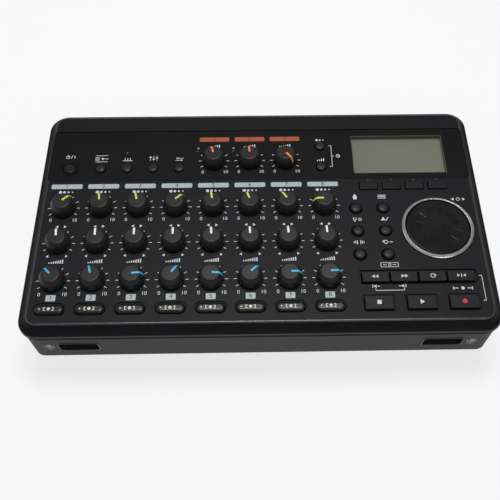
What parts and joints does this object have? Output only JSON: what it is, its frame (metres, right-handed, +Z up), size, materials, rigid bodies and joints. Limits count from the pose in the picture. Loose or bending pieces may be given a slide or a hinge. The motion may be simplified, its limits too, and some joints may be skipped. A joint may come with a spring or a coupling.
{
  "type": "digital multitrack recorder",
  "caption": "Flat desktop digital multitrack recorder with rows of rotary knobs, a display, a finger wheel, transport keys and rear audio sockets.",
  "frame": {"origin": "middle of the casing's footprint, on the plane of the feet's soles", "axes": "+X to the user's right along the front edge, +Y away from the user, +Z up"},
  "size_m": [0.257, 0.15, 0.053],
  "materials": {
    "knob_rubber": "satin soft black",
    "wheel_gloss": "polished black",
    "bright_trim": "bright plated",
    "panel_black": "fine matte charcoal",
    "strip_black": "smooth near-black",
    "clear_window": "clear",
    "display_grey": "grey-green liquid crystal",
    "case_brown_grey": "fine texture brownish grey",
    "board_green": "solder mask",
    "metal_parts": "plain plated",
    "switch_black": "moulded",
    "ribbon_grey": "flexible grey",
    "button_grey": "satin dark grey",
    "key_grey": "satin charcoal",
    "pill_smoke": "smoky translucent",
    "socket_black": "moulded black",
    "mic_black": "felted black",
    "foot_rubber": "matte"
  },
  "bodies": {
    "casing": {"battery_contacts": "metal_parts", "bottom_case": "case_brown_grey", "card_and_usb_sockets": "metal_parts", "case_screws": "metal_parts", "control_board": "board_green", "display_module": "display_grey", "display_window": "clear_window", "main_board": "board_green", "mic_capsules": "mic_black", "rear_jacks": "socket_black", "ribbon_cable": "ribbon_grey", "rotary_controls": "metal_parts", "rubber_feet": "foot_rubber", "tact_switches": "switch_black", "top_case": "panel_black", "upper_panel": "strip_black", "wheel_ring": "bright_trim", "xlr_sockets": "socket_black"},
    "reverb_knob_1": {"reverb_knob_1": "knob_rubber"},
    "reverb_knob_2": {"reverb_knob_2": "knob_rubber"},
    "reverb_knob_3": {"reverb_knob_3": "knob_rubber"},
    "reverb_knob_4": {"reverb_knob_4": "knob_rubber"},
    "reverb_knob_5": {"reverb_knob_5": "knob_rubber"},
    "reverb_knob_6": {"reverb_knob_6": "knob_rubber"},
    "reverb_knob_7": {"reverb_knob_7": "knob_rubber"},
    "reverb_knob_8": {"reverb_knob_8": "knob_rubber"},
    "pan_knob_1": {"pan_knob_1": "knob_rubber"},
    "pan_knob_2": {"pan_knob_2": "knob_rubber"},
    "pan_knob_3": {"pan_knob_3": "knob_rubber"},
    "pan_knob_4": {"pan_knob_4": "knob_rubber"},
    "pan_knob_5": {"pan_knob_5": "knob_rubber"},
    "pan_knob_6": {"pan_knob_6": "knob_rubber"},
    "pan_knob_7": {"pan_knob_7": "knob_rubber"},
    "pan_knob_8": {"pan_knob_8": "knob_rubber"},
    "level_knob_1": {"level_knob_1": "knob_rubber"},
    "level_knob_2": {"level_knob_2": "knob_rubber"},
    "level_knob_3": {"level_knob_3": "knob_rubber"},
    "level_knob_4": {"level_knob_4": "knob_rubber"},
    "level_knob_5": {"level_knob_5": "knob_rubber"},
    "level_knob_6": {"level_knob_6": "knob_rubber"},
    "level_knob_7": {"level_knob_7": "knob_rubber"},
    "level_knob_8": {"level_knob_8": "knob_rubber"},
    "input_a_knob": {"input_a_knob": "knob_rubber"},
    "input_b_knob": {"input_b_knob": "knob_rubber"},
    "master_knob": {"master_knob": "knob_rubber"},
    "data_wheel": {"data_wheel": "wheel_gloss"},
    "menu_buttons": {"menu_buttons": "button_grey"},
    "strip_buttons": {"strip_buttons": "button_grey"},
    "power_button": {"power_button": "button_grey"},
    "function_keys": {"function_keys": "key_grey"},
    "rec_buttons": {"rec_buttons": "pill_smoke"},
    "rewind_button": {"rewind_button": "key_grey"},
    "forward_button": {"forward_button": "key_grey"},
    "repeat_button": {"repeat_button": "key_grey"},
    "in_out_button": {"in_out_button": "key_grey"},
    "stop_button": {"stop_button": "key_grey"},
    "play_button": {"play_button": "key_grey"},
    "record_button": {"record_button": "key_grey"},
    "card_door": {"card_door": "case_brown_grey"},
    "battery_door": {"battery_door": "case_brown_grey"}
  },
  "joints": [
    {"name": "reverb_knob_1_turn", "type": "hinge", "parent": "casing", "child": "reverb_knob_1", "pos_m": [-0.1116, 0.0029, 0.045], "axis": [0, 0, -1], "range_deg": [-197, 103]},
    {"name": "reverb_knob_2_turn", "type": "hinge", "parent": "casing", "child": "reverb_knob_2", "pos_m": [-0.0904, 0.0029, 0.045], "axis": [0, 0, -1], "range_deg": [-145, 155]},
    {"name": "reverb_knob_3_turn", "type": "hinge", "parent": "casing", "child": "reverb_knob_3", "pos_m": [-0.0692, 0.0029, 0.045], "axis": [0, 0, -1], "range_deg": [-136, 164]},
    {"name": "reverb_knob_4_turn", "type": "hinge", "parent": "casing", "child": "reverb_knob_4", "pos_m": [-0.048, 0.0029, 0.045], "axis": [0, 0, -1], "range_deg": [-197, 103]},
    {"name": "reverb_knob_5_turn", "type": "hinge", "parent": "casing", "child": "reverb_knob_5", "pos_m": [-0.0268, 0.0029, 0.045], "axis": [0, 0, -1], "range_deg": [-142, 158]},
    {"name": "reverb_knob_6_turn", "type": "hinge", "parent": "casing", "child": "reverb_knob_6", "pos_m": [-0.0056, 0.0029, 0.045], "axis": [0, 0, -1], "range_deg": [-130, 170]},
    {"name": "reverb_knob_7_turn", "type": "hinge", "parent": "casing", "child": "reverb_knob_7", "pos_m": [0.0156, 0.0029, 0.045], "axis": [0, 0, -1], "range_deg": [-118, 182]},
    {"name": "reverb_knob_8_turn", "type": "hinge", "parent": "casing", "child": "reverb_knob_8", "pos_m": [0.0368, 0.0029, 0.045], "axis": [0, 0, -1], "range_deg": [-58, 242]},
    {"name": "pan_knob_1_turn", "type": "hinge", "parent": "casing", "child": "pan_knob_1", "pos_m": [-0.1116, -0.0206, 0.045], "axis": [0, 0, -1], "range_deg": [-146, 154]},
    {"name": "pan_knob_2_turn", "type": "hinge", "parent": "casing", "child": "pan_knob_2", "pos_m": [-0.0904, -0.0206, 0.045], "axis": [0, 0, -1], "range_deg": [-148, 152]},
    {"name": "pan_knob_3_turn", "type": "hinge", "parent": "casing", "child": "pan_knob_3", "pos_m": [-0.0692, -0.0206, 0.045], "axis": [0, 0, -1], "range_deg": [-150, 150]},
    {"name": "pan_knob_4_turn", "type": "hinge", "parent": "casing", "child": "pan_knob_4", "pos_m": [-0.048, -0.0206, 0.045], "axis": [0, 0, -1], "range_deg": [-150, 150]},
    {"name": "pan_knob_5_turn", "type": "hinge", "parent": "casing", "child": "pan_knob_5", "pos_m": [-0.0268, -0.0206, 0.045], "axis": [0, 0, -1], "range_deg": [-147, 153]},
    {"name": "pan_knob_6_turn", "type": "hinge", "parent": "casing", "child": "pan_knob_6", "pos_m": [-0.0056, -0.0206, 0.045], "axis": [0, 0, -1], "range_deg": [-148, 152]},
    {"name": "pan_knob_7_turn", "type": "hinge", "parent": "casing", "child": "pan_knob_7", "pos_m": [0.0156, -0.0206, 0.045], "axis": [0, 0, -1], "range_deg": [-146, 154]},
    {"name": "pan_knob_8_turn", "type": "hinge", "parent": "casing", "child": "pan_knob_8", "pos_m": [0.0368, -0.0206, 0.045], "axis": [0, 0, -1], "range_deg": [-148, 152]},
    {"name": "level_knob_1_turn", "type": "hinge", "parent": "casing", "child": "level_knob_1", "pos_m": [-0.1116, -0.0441, 0.045], "axis": [0, 0, -1], "range_deg": [-107, 193]},
    {"name": "level_knob_2_turn", "type": "hinge", "parent": "casing", "child": "level_knob_2", "pos_m": [-0.0904, -0.0441, 0.045], "axis": [0, 0, -1], "range_deg": [-135, 165]},
    {"name": "level_knob_3_turn", "type": "hinge", "parent": "casing", "child": "level_knob_3", "pos_m": [-0.0692, -0.0441, 0.045], "axis": [0, 0, -1], "range_deg": [-236, 64]},
    {"name": "level_knob_4_turn", "type": "hinge", "parent": "casing", "child": "level_knob_4", "pos_m": [-0.048, -0.0441, 0.045], "axis": [0, 0, -1], "range_deg": [-187, 113]},
    {"name": "level_knob_5_turn", "type": "hinge", "parent": "casing", "child": "level_knob_5", "pos_m": [-0.0268, -0.0441, 0.045], "axis": [0, 0, -1], "range_deg": [-245, 55]},
    {"name": "level_knob_6_turn", "type": "hinge", "parent": "casing", "child": "level_knob_6", "pos_m": [-0.0056, -0.0441, 0.045], "axis": [0, 0, -1], "range_deg": [-196, 104]},
    {"name": "level_knob_7_turn", "type": "hinge", "parent": "casing", "child": "level_knob_7", "pos_m": [0.0156, -0.0441, 0.045], "axis": [0, 0, -1], "range_deg": [-242, 58]},
    {"name": "level_knob_8_turn", "type": "hinge", "parent": "casing", "child": "level_knob_8", "pos_m": [0.0368, -0.0441, 0.045], "axis": [0, 0, -1], "range_deg": [-238, 62]},
    {"name": "input_a_knob_turn", "type": "hinge", "parent": "casing", "child": "input_a_knob", "pos_m": [-0.0268, 0.0358, 0.045], "axis": [0, 0, -1], "range_deg": [-135, 165]},
    {"name": "input_b_knob_turn", "type": "hinge", "parent": "casing", "child": "input_b_knob", "pos_m": [-0.0056, 0.0358, 0.045], "axis": [0, 0, -1], "range_deg": [-147, 153]},
    {"name": "master_knob_turn", "type": "hinge", "parent": "casing", "child": "master_knob", "pos_m": [0.0156, 0.0358, 0.045], "axis": [0, 0, -1], "range_deg": [-290, 10]},
    {"name": "data_wheel_turn", "type": "hinge", "parent": "casing", "child": "data_wheel", "pos_m": [0.0998, -0.0135, 0.045], "axis": [0, 0, -1], "continuous": true},
    {"name": "menu_buttons_press", "type": "slide", "parent": "casing", "child": "menu_buttons", "axis": [0, 0, -1], "range_m": [0, 0.0006], "stiffness_N_per_m": 500, "springref_m": -0.0006},
    {"name": "strip_buttons_press", "type": "slide", "parent": "casing", "child": "strip_buttons", "axis": [0, 0, -1], "range_m": [0, 0.0006], "stiffness_N_per_m": 500, "springref_m": -0.0006},
    {"name": "power_button_press", "type": "slide", "parent": "casing", "child": "power_button", "axis": [0, 0, -1], "range_m": [0, 0.0006], "stiffness_N_per_m": 500, "springref_m": -0.0006},
    {"name": "function_keys_press", "type": "slide", "parent": "casing", "child": "function_keys", "axis": [0, 0, -1], "range_m": [0, 0.0006], "stiffness_N_per_m": 500, "springref_m": -0.0006},
    {"name": "rec_buttons_press", "type": "slide", "parent": "casing", "child": "rec_buttons", "axis": [0, 0, -1], "range_m": [0, 0.0006], "stiffness_N_per_m": 500, "springref_m": -0.0006},
    {"name": "rewind_button_press", "type": "slide", "parent": "casing", "child": "rewind_button", "axis": [0, 0, -1], "range_m": [0, 0.0006], "stiffness_N_per_m": 500, "springref_m": -0.0006},
    {"name": "forward_button_press", "type": "slide", "parent": "casing", "child": "forward_button", "axis": [0, 0, -1], "range_m": [0, 0.0006], "stiffness_N_per_m": 500, "springref_m": -0.0006},
    {"name": "repeat_button_press", "type": "slide", "parent": "casing", "child": "repeat_button", "axis": [0, 0, -1], "range_m": [0, 0.0006], "stiffness_N_per_m": 500, "springref_m": -0.0006},
    {"name": "in_out_button_press", "type": "slide", "parent": "casing", "child": "in_out_button", "axis": [0, 0, -1], "range_m": [0, 0.0006], "stiffness_N_per_m": 500, "springref_m": -0.0006},
    {"name": "stop_button_press", "type": "slide", "parent": "casing", "child": "stop_button", "axis": [0, 0, -1], "range_m": [0, 0.0006], "stiffness_N_per_m": 500, "springref_m": -0.0006},
    {"name": "play_button_press", "type": "slide", "parent": "casing", "child": "play_button", "axis": [0, 0, -1], "range_m": [0, 0.0006], "stiffness_N_per_m": 500, "springref_m": -0.0006},
    {"name": "record_button_press", "type": "slide", "parent": "casing", "child": "record_button", "axis": [0, 0, -1], "range_m": [0, 0.0006], "stiffness_N_per_m": 500, "springref_m": -0.0006},
    {"name": "card_door_swing", "type": "hinge", "parent": "casing", "child": "card_door", "pos_m": [0.12603, 0.032, 0.0095], "axis": [0, 1, 0], "range_deg": [0, 85]},
    {"name": "battery_door_slide", "type": "slide", "parent": "casing", "child": "battery_door", "axis": [0, 1, 0], "range_m": [0, 0.0045]}
  ]
}
